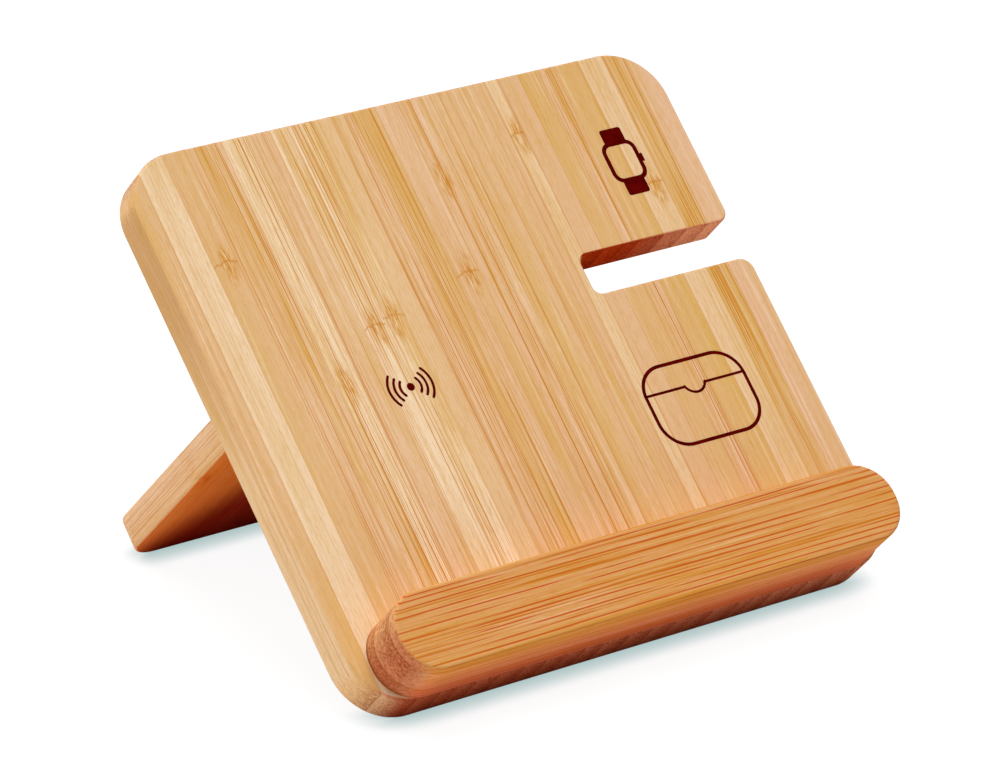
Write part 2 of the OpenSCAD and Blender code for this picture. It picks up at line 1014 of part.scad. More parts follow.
panel();
ledge();
ledge_dowels();
leg();
panel_leaves();
leg_leaves();
hinge_pins();
panel_leaf_screws();
leg_leaf_screws();
back_cover();
cover_screws();
phone_coil();
phone_ferrite();
earbud_coil();
earbud_ferrite();
watch_coil();
watch_ferrite();
watch_magnet();
circuit_board();
board_screws();
controller_chips();
power_inductors();
capacitors();
inlet_shell();
inlet_tongue();
phone_lead();
earbud_lead();
watch_lead();
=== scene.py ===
# %% [markdown]
# A charging stand of laminated bamboo: a board that leans back on a fold-out leg, with a ledge
# along its foot and a slot cut in from the right. The CAD model already has its exact shapes, so
# Blender is used here for what a CAD model lacks: the grain, the burnt-in marks and the light.

# %% Load the frame
import json
import math

import bpy
import numpy as np
from mathutils import Matrix, Vector


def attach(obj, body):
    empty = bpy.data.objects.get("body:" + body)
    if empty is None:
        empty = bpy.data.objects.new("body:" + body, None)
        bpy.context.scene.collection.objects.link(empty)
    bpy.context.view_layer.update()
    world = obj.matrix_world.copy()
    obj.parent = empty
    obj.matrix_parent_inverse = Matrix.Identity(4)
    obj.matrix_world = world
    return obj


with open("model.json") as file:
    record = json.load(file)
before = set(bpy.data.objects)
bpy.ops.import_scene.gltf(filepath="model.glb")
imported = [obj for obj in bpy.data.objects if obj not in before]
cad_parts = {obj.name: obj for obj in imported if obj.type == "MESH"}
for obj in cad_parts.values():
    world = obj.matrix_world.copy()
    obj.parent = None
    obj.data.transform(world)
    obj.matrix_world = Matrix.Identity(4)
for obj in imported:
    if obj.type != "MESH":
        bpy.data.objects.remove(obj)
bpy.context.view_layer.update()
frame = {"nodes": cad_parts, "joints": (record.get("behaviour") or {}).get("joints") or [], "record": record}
NODES = frame["nodes"]

# %% [markdown]
# Everything on the face is placed in board coordinates: u across from the left side, v up the
# slope from the lower edge, w out of the face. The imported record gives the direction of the
# slope, and the panel's own mesh gives the edges, so nothing is measured by hand.

# %% Board coordinates
MM = 0.001


def mesh_points(obj):
    """All the vertices of a mesh, as rows of x, y, z."""
    flat = np.empty(3 * len(obj.data.vertices))
    obj.data.vertices.foreach_get("co", flat)
    return flat.reshape(-1, 3)


ledge_mount = next(m for m in frame["record"]["mounts"] if m["name"] == "device_ledge")
ACROSS = np.array([1.0, 0.0, 0.0])
SLOPE = np.array(ledge_mount["axis"], float)
SLOPE /= np.linalg.norm(SLOPE)
OUT = np.cross(ACROSS, SLOPE)
TILT = math.atan2(SLOPE[2], SLOPE[1])
PANEL_POINTS = mesh_points(NODES["panel"])
BOARD_ORIGIN = (ACROSS * (PANEL_POINTS @ ACROSS).min() + SLOPE * (PANEL_POINTS @ SLOPE).min()
                + OUT * (PANEL_POINTS @ OUT).max())


def on_board(u, v, w):
    """Board coordinates in mm to metres: the origin plus each one times its direction."""
    steps = np.stack(np.broadcast_arrays(u, v, w), -1) * MM
    return BOARD_ORIGIN + steps @ np.stack([ACROSS, SLOPE, OUT])


print("tilt", round(math.degrees(TILT), 2), "degrees; board starts at", BOARD_ORIGIN.round(4))

# %% [markdown]
# The photograph was taken from far away with a long lens, slightly from the left and from above.
# A camera is a point, a direction and a lens. Here it is built from angles that can be read as a
# photographer would say them: how far round, how high, how much it leans, and how far away.

# %% Camera
LENS_MM = 194.31
SENSOR_MM = 36.0
CAMERA_ROUND = math.radians(-36.2375)
CAMERA_HIGH = math.radians(21.879)
CAMERA_LEAN = math.radians(0.4462)
CAMERA_AWAY = 1.64496
AIM_POINT = Vector((-0.008589, -0.010914, 0.069743))

camera_data = bpy.data.cameras.new("camera")
camera_data.lens = LENS_MM
camera_data.sensor_width = SENSOR_MM
camera_data.clip_start = 0.05
camera = bpy.data.objects.new("camera", camera_data)
bpy.context.scene.collection.objects.link(camera)
bpy.context.scene.camera = camera

back = Vector((math.sin(CAMERA_ROUND) * math.cos(CAMERA_HIGH),
               -math.cos(CAMERA_ROUND) * math.cos(CAMERA_HIGH), math.sin(CAMERA_HIGH)))
level = Vector((math.cos(CAMERA_ROUND), math.sin(CAMERA_ROUND), 0))
right = level * math.cos(CAMERA_LEAN) + back.cross(level) * math.sin(CAMERA_LEAN)
turn = Matrix((right, back.cross(right), back)).transposed()
camera.matrix_world = Matrix.Translation(AIM_POINT + back * CAMERA_AWAY) @ turn.to_4x4()
print("camera at", [round(c, 3) for c in camera.matrix_world.translation])

# %% [markdown]
# Every material here is a tree of nodes. Three small helpers keep the trees readable: one adds a
# node and fills or links its inputs, one adds a Math node, and one blends two colours by a mask.

# %% Node helpers


def linear(r, g, b):
    """A colour written as 0 to 255 screen values, as the linear values that Blender uses."""
    screen = np.array([r, g, b]) / 255
    low = screen / 12.92
    high = ((screen + 0.055) / 1.055) ** 2.4
    return (*np.where(screen <= 0.04045, low, high).tolist(), 1.0)


def add_node(tree, kind, inputs=(), **settings):
    """Adds a node. Each input is given by its name or number, as a value or as a socket to link."""
    node = tree.nodes.new(kind)
    for key, value in settings.items():
        setattr(node, key, value)
    for key, value in dict(inputs).items():
        if isinstance(value, bpy.types.NodeSocket):
            tree.links.new(value, node.inputs[key])
        else:
            node.inputs[key].default_value = value
    return node


def calc(tree, operation, *values, clamp=False):
    return add_node(tree, "ShaderNodeMath", dict(enumerate(values)),
                    operation=operation, use_clamp=clamp).outputs[0]


def ramp(tree, value, low, high, to_low=0.0, to_high=1.0):
    """Smooth step from to_low to to_high, while the value goes from low to high."""
    inputs = {"Value": value, "From Min": low, "From Max": high, "To Min": to_low, "To Max": to_high}
    return add_node(tree, "ShaderNodeMapRange", inputs, interpolation_type="SMOOTHSTEP").outputs[0]


def blend_colours(tree, mask, first, second, how="MIX"):
    node = add_node(tree, "ShaderNodeMix", {0: mask, 6: first, 7: second},
                    data_type="RGBA", blend_type=how)
    return node.outputs[2]


def noise(tree, vector, scale, detail=2.0, roughness=0.5):
    inputs = {"Vector": vector, "Scale": scale, "Detail": detail, "Roughness": roughness}
    return add_node(tree, "ShaderNodeTexNoise", inputs).outputs["Fac"]


def new_group(name, inputs, outputs):
    """A shader node group with named sockets. Inputs are name: (kind, default)."""
    group = bpy.data.node_groups.new(name, "ShaderNodeTree")
    for label, (kind, default) in inputs.items():
        socket = group.interface.new_socket(label, in_out="INPUT", socket_type="NodeSocket" + kind)
        if default is not None:
            socket.default_value = default
    for label, kind in outputs.items():
        group.interface.new_socket(label, in_out="OUTPUT", socket_type="NodeSocket" + kind)
    return group, group.nodes.new("NodeGroupInput").outputs, group.nodes.new("NodeGroupOutput").inputs


# %% [markdown]
# Laminated bamboo is glued up from strips some 6 to 10 mm wide. Each strip has its own tone, thin
# darker bundles of fibre run along it, and now and then it crosses a knuckle of the stalk. All of
# that is computed from the place in the wood, so the grain runs on round every edge. The group
# works in mm, with x across the strips, y along the fibres and z through the board.

# %% Bamboo group: strips
CREAM = linear(243, 213, 176)
PEACH = linear(229, 185, 144)
HONEY = linear(216, 169, 86)
OCHRE = linear(208, 146, 20)
RUST = linear(192, 104, 20)
BROWN = linear(140, 76, 30)
AMBER = linear(201, 124, 30)
WHITE = (1.0, 1.0, 1.0, 1.0)

# Some inputs paint light and shade into the colour: a tint on what faces down, deeper shade in the places furthest in,
# and painted shade along eased edges and at the ledge's joint line.
bamboo_group, given, result = new_group(
    "bamboo",
    {"Place": ("Vector", None), "Strip": ("Float", 8.0), "Seed": ("Float", 0.0),
     "Through": ("Float", 1.0), "Least Lined": ("Float", 0.3), "Knuckles": ("Float", 1.0),
     "Line Gap": ("Float", 5.0), "Line Width": ("Float", 0.24), "Line Share": ("Float", 0.80),
     "Line Color": ("Color", AMBER), "Tint": ("Color", WHITE), "End": ("Float", 0.0),
     "End Tint": ("Color", WHITE), "Edge Shade And Joint Line": ("Float", 0.0), "Pale": ("Float", 0.0),
     "Painted Underside": ("Float", 0.0), "Deep Tint": ("Color", WHITE), "Painted Inner Shade": ("Float", 0.0),
     "Far Tint": ("Color", WHITE)},
    {"Color": "Color", "Roughness": "Float", "Height": "Float"})
tree = bamboo_group


def plus(*values):
    """The sum of two or more values or sockets."""
    total = values[0]
    for value in values[1:]:
        total = calc(tree, "ADD", total, value)
    return total


def times(*values):
    """The product of two or more values or sockets."""
    total = values[0]
    for value in values[1:]:
        total = calc(tree, "MULTIPLY", total, value)
    return total


place = add_node(tree, "ShaderNodeSeparateXYZ", {0: given["Place"]}).outputs
strip_place = plus(calc(tree, "DIVIDE", place[0], given["Strip"]), given["Seed"])
strips = {"W": strip_place, "Scale": 1.0, "Randomness": 0.8}
cell = add_node(tree, "ShaderNodeTexVoronoi", strips, voronoi_dimensions="1D").outputs
strip_seam = add_node(tree, "ShaderNodeTexVoronoi", strips, voronoi_dimensions="1D",
                      feature="DISTANCE_TO_EDGE").outputs["Distance"]
strip_random = add_node(tree, "ShaderNodeSeparateColor", {0: cell["Color"]}).outputs
in_strip = calc(tree, "SUBTRACT", strip_place, cell["W"])
seam_mask = ramp(tree, times(strip_seam, given["Strip"]), 0.06, 0.30, 1.0, 0.0)
shuffled = calc(tree, "FRACT", times(strip_random[2], 13.7))
lined = calc(tree, "MAXIMUM", ramp(tree, shuffled, 0.1, 0.9, 0.2, 1.5), given["Least Lined"])
# Fewer lines show where the underside shading is painted.
lined = times(lined, ramp(tree, given["Painted Underside"], 0.0, 1.0, 1.0, 0.6))

# %% Bamboo group: fibres
# A strip's own shift along the fibres keeps streaks from running across a seam, and a slow sway
# to the side keeps them from being ruler-straight.
SWAY_MM = 1.4
strip_shift = times(strip_random[0], 900.0)
along = plus(place[1], strip_shift)


def stretched(across_mm, along_mm, across=place[0]):
    """Fibre coordinates: each distance over the usual size of a streak that way."""
    parts = {0: calc(tree, "DIVIDE", across, across_mm), 1: calc(tree, "DIVIDE", along, along_mm),
             2: calc(tree, "DIVIDE", place[2], times(given["Through"], across_mm))}
    return add_node(tree, "ShaderNodeCombineXYZ", parts).outputs[0]


sway = plus(noise(tree, stretched(16.0, 110.0), 1.0, 1.0), -0.5)
swayed = plus(place[0], times(sway, SWAY_MM))
broad = noise(tree, stretched(7.0, 120.0, swayed), 1.0, 2.0)
gold = noise(tree, stretched(2.6, 90.0, swayed), 1.0, 2.0)
streak = noise(tree, stretched(1.1, 70.0, swayed), 1.0, 3.0, 0.6)
fine = noise(tree, stretched(0.34, 26.0, swayed), 1.0, 2.0, 0.6)
thread = noise(tree, stretched(0.55, 130.0, swayed), 1.0, 1.0)
dashes = noise(tree, stretched(0.30, 3.5), 1.0, 2.0, 0.6)
crowd = noise(tree, stretched(5.0, 110.0, swayed), 1.0, 1.0)
fading = noise(tree, stretched(1.6, 40.0, swayed), 1.0, 1.0)

broad_mask = ramp(tree, broad, 0.42, 0.70)
gold_mask = ramp(tree, gold, 0.52, 0.72)
streak_mask = ramp(tree, streak, 0.50, 0.70)
fine_mask = ramp(tree, fine, 0.46, 0.66)
dash_mask = ramp(tree, dashes, 0.50, 0.66)
pale_mask = ramp(tree, streak, 0.30, 0.46, 1.0, 0.0)

# %% Bamboo group: lines
# Thin dark lines stand at uneven steps: they are the borders of cells in one dimension, and each
# one fades out and comes back along its way. Between them, short threads show where a long thin
# noise passes a height.
line_place = calc(tree, "DIVIDE", plus(swayed, place[2]), given["Line Gap"])
line_border = add_node(tree, "ShaderNodeTexVoronoi", {"W": line_place, "Scale": 1.0, "Randomness": 1.0},
                       voronoi_dimensions="1D", feature="DISTANCE_TO_EDGE").outputs["Distance"]
line_fade = ramp(tree, fading, 0.34, 0.60, 0.12, 1.0)
line_mask = times(ramp(tree, times(line_border, given["Line Gap"]), 0.04, given["Line Width"], 1.0, 0.0), line_fade)
thread_mask = ramp(tree, plus(thread, times(plus(crowd, -0.5), 0.2)), 0.605, 0.650)

# %% Bamboo group: knuckles
# One knuckle in about 480 mm of each strip: a cluster of short wisps in a small oval. In some
# strips a faint arched line crosses it too.
KNUCKLE_EVERY = 480.0
OVAL = (3.4, 9.0)
off_middle = times(in_strip, given["Strip"])
knuckle_part = calc(tree, "FRACT", calc(tree, "DIVIDE", plus(place[1], times(strip_random[1], 3000.0)),
                                        KNUCKLE_EVERY))
knuckle_mm = times(plus(knuckle_part, -0.5), KNUCKLE_EVERY)
oval_x = calc(tree, "DIVIDE", off_middle, OVAL[0])
oval_y = calc(tree, "DIVIDE", knuckle_mm, OVAL[1])
oval = calc(tree, "SQRT", plus(times(oval_x, oval_x), times(oval_y, oval_y)))
oval_mask = times(ramp(tree, oval, 0.3, 1.1, 1.0, 0.0), given["Knuckles"])
bent = plus(swayed, times(oval_y, oval_y, 0.5))
wisp = noise(tree, stretched(0.55, 4.5, bent), 1.0, 2.0)
wisps = ramp(tree, wisp, 0.50, 0.58)
pale_wisps = ramp(tree, wisp, 0.36, 0.44, 1.0, 0.0)
arched = plus(knuckle_mm, times(in_strip, in_strip, 3.0), times(noise(tree, stretched(1.8, 300.0), 1.0), 2.0))
arch_line = times(ramp(tree, calc(tree, "ABSOLUTE", plus(arched, -2.0)), 0.1, 0.6, 1.0, 0.0),
                  ramp(tree, strip_random[0], 0.55, 0.60), given["Knuckles"])

# %% Bamboo group: colour


def laid_over(under, colour, mask, share):
    """Blends a colour over another by a mask times a share."""
    return blend_colours(tree, times(mask, share), under, colour)


tone = blend_colours(tree, ramp(tree, strip_random[2], 0.1, 0.7), CREAM, PEACH)
tone = laid_over(tone, HONEY, ramp(tree, strip_random[1], 0.4, 1.0), 0.60)
tone = laid_over(tone, HONEY, broad_mask, 0.50)
tone = laid_over(tone, CREAM, pale_mask, 0.40)
tone = laid_over(tone, CREAM, given["Pale"], 0.7)
tone = laid_over(tone, OCHRE, times(gold_mask, lined), 0.30)
tone = laid_over(tone, OCHRE, times(streak_mask, lined), 0.34)
tone = laid_over(tone, OCHRE, times(fine_mask, lined), 0.32)
tone = laid_over(tone, OCHRE, dash_mask, 0.30)
tone = laid_over(tone, OCHRE, oval_mask, 0.40)
tone = laid_over(tone, CREAM, times(oval_mask, pale_wisps), 0.50)
tone = laid_over(tone, AMBER, times(oval_mask, wisps), 0.70)
tone = laid_over(tone, AMBER, times(thread_mask, lined), 0.60)
tone = laid_over(tone, given["Line Color"], times(line_mask, lined), given["Line Share"])
tone = laid_over(tone, AMBER, seam_mask, 0.36)
tone = laid_over(tone, AMBER, arch_line, 0.50)

# %% Bamboo group: end grain
# Across the fibres the same bundles are seen end on, as dark dots, closer together towards the
# outer side of the stalk, so each strip shades from light to dark.
END_LIGHT = linear(238, 196, 156)
END_DARK = linear(184, 118, 80)
dots = noise(tree, stretched(0.7, 400.0), 1.0, 2.0, 0.6)
crowded = plus(dots, times(in_strip, 0.22))
end_tone = blend_colours(tree, ramp(tree, crowded, 0.28, 0.76), END_LIGHT, END_DARK)
end_tone = laid_over(end_tone, END_DARK, ramp(tree, strip_random[0], 0.3, 0.9), 0.30)
end_tone = laid_over(end_tone, BROWN, seam_mask, 0.35)
end_tone = blend_colours(tree, 1.0, end_tone, given["End Tint"], "MULTIPLY")
tone = blend_colours(tree, given["End"], tone, end_tone)
# Painted shade: brown along the eased edges, and on the ledge a dark joint line with painted shade where it meets the
# board.
tone = laid_over(tone, BROWN, given["Edge Shade And Joint Line"], 1.0)

# %% Bamboo group: tint and relief
# Painted light and shade: what faces down is turned towards a red-brown, lifted on the panel and
# darkened on the ledge, and the places that lie furthest in get painted shade once more.
tone = blend_colours(tree, 1.0, tone, given["Tint"], "MULTIPLY")
tone = blend_colours(tree, given["Painted Underside"], tone, given["Deep Tint"], "MULTIPLY")
tone = blend_colours(tree, given["Painted Inner Shade"], tone, given["Far Tint"], "MULTIPLY")

relief = plus(times(streak_mask, -0.4), times(fine_mask, -0.4), times(line_mask, -0.6), times(arch_line, 0.5))
tree.links.new(tone, result["Color"])
tree.links.new(plus(times(streak_mask, 0.10), 0.52), result["Roughness"])
tree.links.new(relief, result["Height"])
print("bamboo group has", len(tree.nodes), "nodes")

# %% [markdown]
# The smaller finishes share one more group. It mottles a surface with two sizes of noise and puts
# out a colour, a roughness and a height. Each material then keeps its own values for them, and
# its own shader.

# %% Mottle group
mottle_group, given, result = new_group(
    "mottle",
    {"Place": ("Vector", None), "Coarse": ("Float", 0.2), "Fine": ("Float", 4.0),
     "Light": ("Color", (0.8, 0.8, 0.8, 1)), "Dark": ("Color", (0.5, 0.5, 0.5, 1)),
     "Smooth": ("Float", 0.3), "Rough": ("Float", 0.5)},
    {"Color": "Color", "Roughness": "Float", "Height": "Float"})
tree = mottle_group
coarse = noise(tree, given["Place"], given["Coarse"], 3.0)
grit = noise(tree, given["Place"], given["Fine"], 2.0)
both = calc(tree, "ADD", calc(tree, "MULTIPLY", coarse, 0.5), calc(tree, "MULTIPLY", grit, 0.5))
mask = ramp(tree, both, 0.35, 0.65)
tree.links.new(blend_colours(tree, mask, given["Dark"], given["Light"]), result["Color"])
spread = {"Value": mask, "To Min": given["Rough"], "To Max": given["Smooth"]}
tree.links.new(add_node(tree, "ShaderNodeMapRange", spread).outputs[0], result["Roughness"])
tree.links.new(grit, result["Height"])
print("mottle group has", len(tree.nodes), "nodes")

# %% [markdown]
# A Mapping node turns and scales the object's own coordinates, in metres, to a piece's own axes
# in mm. The board leans by its tilt and the leg by its own angle, so each wood piece gets its own
# rotation, and the fibres follow the wood.

# %% Material helpers


def new_material(name):
    material = bpy.data.materials.new(name)
    material.use_nodes = True
    tree = material.node_tree
    tree.nodes.clear()
    shader = add_node(tree, "ShaderNodeBsdfPrincipled")
    output = add_node(tree, "ShaderNodeOutputMaterial")
    tree.links.new(shader.outputs[0], output.inputs[0])
    return material, tree, shader


def piece_place(tree, axes):
    """Object coordinates in mm along a piece's own axes: an inverse turn, then a scale of 1000."""
    angles = Matrix([list(map(float, axis)) for axis in axes]).transposed().to_euler()
    turned = add_node(tree, "ShaderNodeMapping",
                      {"Vector": add_node(tree, "ShaderNodeTexCoord").outputs["Object"],
                       "Rotation": angles}, vector_type="TEXTURE")
    scaled = add_node(tree, "ShaderNodeVectorMath", {0: turned.outputs[0], "Scale": 1 / MM},
                      operation="SCALE")
    return scaled.outputs[0]


def facing(tree, direction):
    """How squarely a surface faces one way: its normal dot that direction."""
    normal = add_node(tree, "ShaderNodeTexCoord").outputs["Normal"]
    return add_node(tree, "ShaderNodeVectorMath", {0: normal, 1: tuple(map(float, direction))},
                    operation="DOT_PRODUCT").outputs["Value"]


def bump(tree, shader, height, strength, distance_mm):
    inputs = {"Height": height, "Strength": strength, "Distance": distance_mm * MM}
    tree.links.new(add_node(tree, "ShaderNodeBump", inputs).outputs[0], shader.inputs["Normal"])


def between(tree, start, end):
    """Smooth step from 0 at one point to 1 at another, along the line between them."""
    way = np.subtract(end, start) / np.sum(np.subtract(end, start) ** 2)
    here = add_node(tree, "ShaderNodeTexCoord").outputs["Object"]
    gone = add_node(tree, "ShaderNodeVectorMath", {0: here, 1: tuple(way)}, operation="DOT_PRODUCT")
    return ramp(tree, gone.outputs["Value"], float(start @ way), float(start @ way) + 1)


def piece_axis(tree, plane):
    """Distance in metres out of a plane, which is given as a point and a direction."""
    point, way = plane
    here = add_node(tree, "ShaderNodeTexCoord").outputs["Object"]
    gone = add_node(tree, "ShaderNodeVectorMath", {0: here, 1: tuple(map(float, way))}, operation="DOT_PRODUCT")
    return calc(tree, "SUBTRACT", gone.outputs["Value"], float(point @ way))


def bamboo_material(name, axes, down, inner_shade_mask, edge_shade=0.0, pale=None, joint_line_shade=None, ends=None, tint=None, lined=0.3,
                    **values):
    """Oiled bamboo: the shared group in a piece's own axes (across, along, through)."""
    material, tree, shader = new_material(name)
    group = add_node(tree, "ShaderNodeGroup", node_tree=bamboo_group)
    tree.links.new(piece_place(tree, axes), group.inputs["Place"])
    tree.links.new(ramp(tree, calc(tree, "ABSOLUTE", facing(tree, axes[1])), 0.25, 0.85), group.inputs["End"])
    sideways = calc(tree, "ABSOLUTE", facing(tree, ACROSS))
    # Painted shading on what faces down, though not on the sides; the inner mask says where the shade is painted deeper
    # still.
    painted_underside = calc(tree, "MULTIPLY", ramp(tree, facing(tree, down), 0.60, 0.82), ramp(tree, sideways, 0.2, 0.75, 1.0, 0.0))
    tree.links.new(painted_underside, group.inputs["Painted Underside"])
    tree.links.new(calc(tree, "MULTIPLY", painted_underside, inner_shade_mask(tree)), group.inputs["Painted Inner Shade"])
    # Painted shade on the eased edges, where they turn from one face to the next.
    rim = calc(tree, "ABSOLUTE", facing(tree, OUT))
    eased_edge_shade = calc(tree, "MULTIPLY", ramp(tree, rim, 0.1, 0.4), ramp(tree, rim, 0.9, 0.99, 1.0, 0.0))
    tree.links.new(calc(tree, "MULTIPLY", eased_edge_shade, edge_shade), group.inputs["Edge Shade And Joint Line"])
    # Along the ledge's back, where it meets the board, a dark joint line with painted shade.
    if joint_line_shade:
        line = calc(tree, "MULTIPLY", ramp(tree, piece_axis(tree, joint_line_shade), 0.4 * MM, 1.8 * MM, 0.80, 0.0),
                    ramp(tree, sideways, 0.2, 0.7))
        tree.links.new(line, group.inputs["Edge Shade And Joint Line"])
    tree.links.new(ramp(tree, sideways, 0.75, 0.98, lined, max(lined, 0.55)), group.inputs["Least Lined"])
    # Painted light and shade on the end grain: lighter where it faces up the slope, darker where it faces down.
    if ends:
        upper = ramp(tree, facing(tree, SLOPE), -0.3, 0.7)
        tree.links.new(blend_colours(tree, upper, *ends), group.inputs["End Tint"])
    if tint:
        tree.links.new(tint(tree), group.inputs["Tint"])
    if pale:
        tree.links.new(pale(tree), group.inputs["Pale"])
    for key, value in values.items():
        group.inputs[key.replace("_", " ")].default_value = value
    tree.links.new(group.outputs["Color"], shader.inputs["Base Color"])
    tree.links.new(group.outputs["Roughness"], shader.inputs["Roughness"])
    bump(tree, shader, group.outputs["Height"], 0.25, 0.08)
    shader.inputs["Specular IOR Level"].default_value = 0.0
    return material


def mottled_material(name, values, metal=0.0, relief=0.1, gloss=0.5):
    """A finish from the mottle group, on the row's own axes in mm."""
    material, tree, shader = new_material(name)
    group = add_node(tree, "ShaderNodeGroup", node_tree=mottle_group)
    axes = Matrix.Identity(3)
    tree.links.new(piece_place(tree, axes), group.inputs["Place"])
    for key, value in values.items():
        group.inputs[key].default_value = value
    tree.links.new(group.outputs["Color"], shader.inputs["Base Color"])
    tree.links.new(group.outputs["Roughness"], shader.inputs["Roughness"])
    bump(tree, shader, group.outputs["Height"], relief, 0.05)
    shader.inputs["Metallic"].default_value = metal
    shader.inputs["Specular IOR Level"].default_value = gloss
    return material


def dress(material, *names):
    for name in names:
        NODES[name].data.materials.clear()
        NODES[name].data.materials.append(material)


# %% [markdown]
# The panel's fibres run up the slope, the ledge's run across it, and the leg's run from its
# hinges to its foot. The leg's direction is worked out from its hinge's open angle in the
# record: it is the long way from the hinge pins to the foot.

# %% Wood on the pieces
pivot = np.array(frame["joints"][0]["pos_m"], float)
leg_points = mesh_points(NODES["leg"])
leg_open = math.radians(frame["joints"][0]["range_deg"][1])
LEG_ALONG = -SLOPE * math.cos(leg_open) - OUT * math.sin(leg_open)
LEG_OUT = np.cross(ACROSS, LEG_ALONG)

GOLDEN = linear(254, 236, 231)
LEG_TINT = linear(252, 247, 247)
# End grain tints, lighter on what faces up: painted light.
LEDGE_END = linear(216, 178, 158)
LEDGE_END_LIT = linear(243, 243, 216)
PANEL_LEFT = (1.02, 1.05, 1.08, 1.0)
# Painted shade on the board's sides, low and high up.
LOW_SIDE_SHADE = (0.918, 0.898, 0.853, 1.0)
HIGH_SIDE_SHADE = (0.81, 0.78, 0.785, 1.0)
PANEL_RIGHT = (1.014, 1.035, 1.10, 1.0)
PANEL_END = (0.84, 0.77, 0.66, 1.0)
PANEL_END_LIT = (1.0, 1.12, 1.24, 1.0)
# Painted light and shade: the underside tints turn what faces down towards a red-brown, and the inner shade tints
# darken the places furthest in.
PAINTED_UNDERSIDE_PANEL = (1.36, 1.11, 1.14, 1.0)
PAINTED_INNER_SHADE_PANEL = (0.52, 0.12, 0.035, 1.0)
PAINTED_UNDERSIDE_LEDGE = (1.00, 0.83, 0.51, 1.0)
PAINTED_INNER_SHADE_LEDGE = (1.02, 0.60, 0.86, 1.0)
PAINTED_UNDERSIDE_LEG = (1.50, 0.66, 0.235, 1.0)
PAINTED_INNER_SHADE_LEG = (0.42, 0.12, 0.25, 1.0)
LEDGE_LINES = linear(200, 88, 34)
LEG_LINES = linear(190, 120, 60)


def board_step(start, end):
    """A mask that goes from 0 at one board point to 1 at another."""
    return lambda tree: between(tree, on_board(*start), on_board(*end))


def panel_inner_shade(tree):
    """Painted inner shade: full at the closed end of the slot, none at its mouth, and less to the right at the foot."""
    slot = between(tree, on_board(196, 0, 0), on_board(158, 0, 0))
    foot = between(tree, on_board(0, 40, 0), on_board(0, 20, 0))
    return calc(tree, "ADD", calc(tree, "MULTIPLY", slot, calc(tree, "SUBTRACT", 1.0, foot)),
                calc(tree, "MULTIPLY", foot, ramp(tree, piece_axis(tree, (BOARD_ORIGIN, ACROSS)), 0.0, 0.2, 0.78, 0.52)))


def panel_side(tree):
    """The board's left and right sides."""
    return ramp(tree, calc(tree, "ABSOLUTE", facing(tree, ACROSS)), 0.93, 1.0)


def panel_pale(tree):
    """The sides are palest low down."""
    low = between(tree, on_board(0, 150, 0), on_board(0, 60, 0))
    return calc(tree, "MULTIPLY", panel_side(tree), low)


def panel_tone_and_side_shade(tree):
    """Even on the face, and on the sides painted shade, a little darker, most of all high up."""
    right = between(tree, on_board(50, 0, 0), on_board(190, 0, 0))
    high = between(tree, on_board(0, 80, 0), on_board(0, 150, 0))
    side = blend_colours(tree, high, LOW_SIDE_SHADE, HIGH_SIDE_SHADE)
    return blend_colours(tree, panel_side(tree), blend_colours(tree, right, PANEL_LEFT, PANEL_RIGHT), side)


LEG_CORNER = np.array([leg_points[:, 0].min(), *(pivot[1:])])
leg_in = ACROSS * 0.84 + LEG_ALONG * 0.54


def leg_inner_shade(tree):
    """Painted inner shade: none at the leg's left side, full some way in and down."""
    start = LEG_CORNER + LEG_ALONG * 21 * MM + leg_in * 30 * MM
    return between(tree, start, start + leg_in * 26 * MM)


foot_down = -SLOPE + 0.6 * OUT
foot_down /= np.linalg.norm(foot_down)
dress(bamboo_material("bamboo_panel", (ACROSS, SLOPE, OUT), foot_down, panel_inner_shade, 0.10, panel_pale,
                      ends=(PANEL_END, PANEL_END_LIT), tint=panel_tone_and_side_shade, Seed=213.6, Deep_Tint=PAINTED_UNDERSIDE_PANEL, Far_Tint=PAINTED_INNER_SHADE_PANEL), "panel")
# The ledge's painted inner shade is deepest at its back, where it meets the board.
dress(bamboo_material("bamboo_ledge", (OUT, ACROSS, SLOPE), -SLOPE, board_step((0, 0, 20.5), (0, 0, 0)),
                      joint_line_shade=(BOARD_ORIGIN, OUT), ends=(LEDGE_END, LEDGE_END_LIT), Strip=14.0, Seed=21.4, Line_Gap=2.1, Line_Width=0.33,
                      Line_Share=0.85, lined=1.0,
                      Line_Color=LEDGE_LINES, Knuckles=0.0, Tint=GOLDEN,
                      Deep_Tint=PAINTED_UNDERSIDE_LEDGE, Far_Tint=PAINTED_INNER_SHADE_LEDGE), "ledge")
dress(bamboo_material("bamboo_leg", (ACROSS, LEG_ALONG, LEG_OUT), -LEG_OUT, leg_inner_shade, lined=0.8, Seed=47.0, Line_Gap=2.6,
                      Line_Share=0.8, Line_Color=LEG_LINES, Tint=LEG_TINT, Deep_Tint=PAINTED_UNDERSIDE_LEG,
                      Far_Tint=PAINTED_INNER_SHADE_LEG), "leg")
dress(bamboo_material("dowel_wood", (ACROSS, OUT, SLOPE), -SLOPE, lambda tree: 0.0, Strip=40.0, Seed=5.0), "ledge_dowels")
print("leg reaches", round(float(((leg_points - pivot) @ LEG_ALONG).max()) / MM, 1), "mm from its pins")

# %% [markdown]
# Metal, plastic and the sealed-in electronics come next. They hardly show, but the object may be
# opened up or seen from behind, so each one gets the finish that its real piece has.

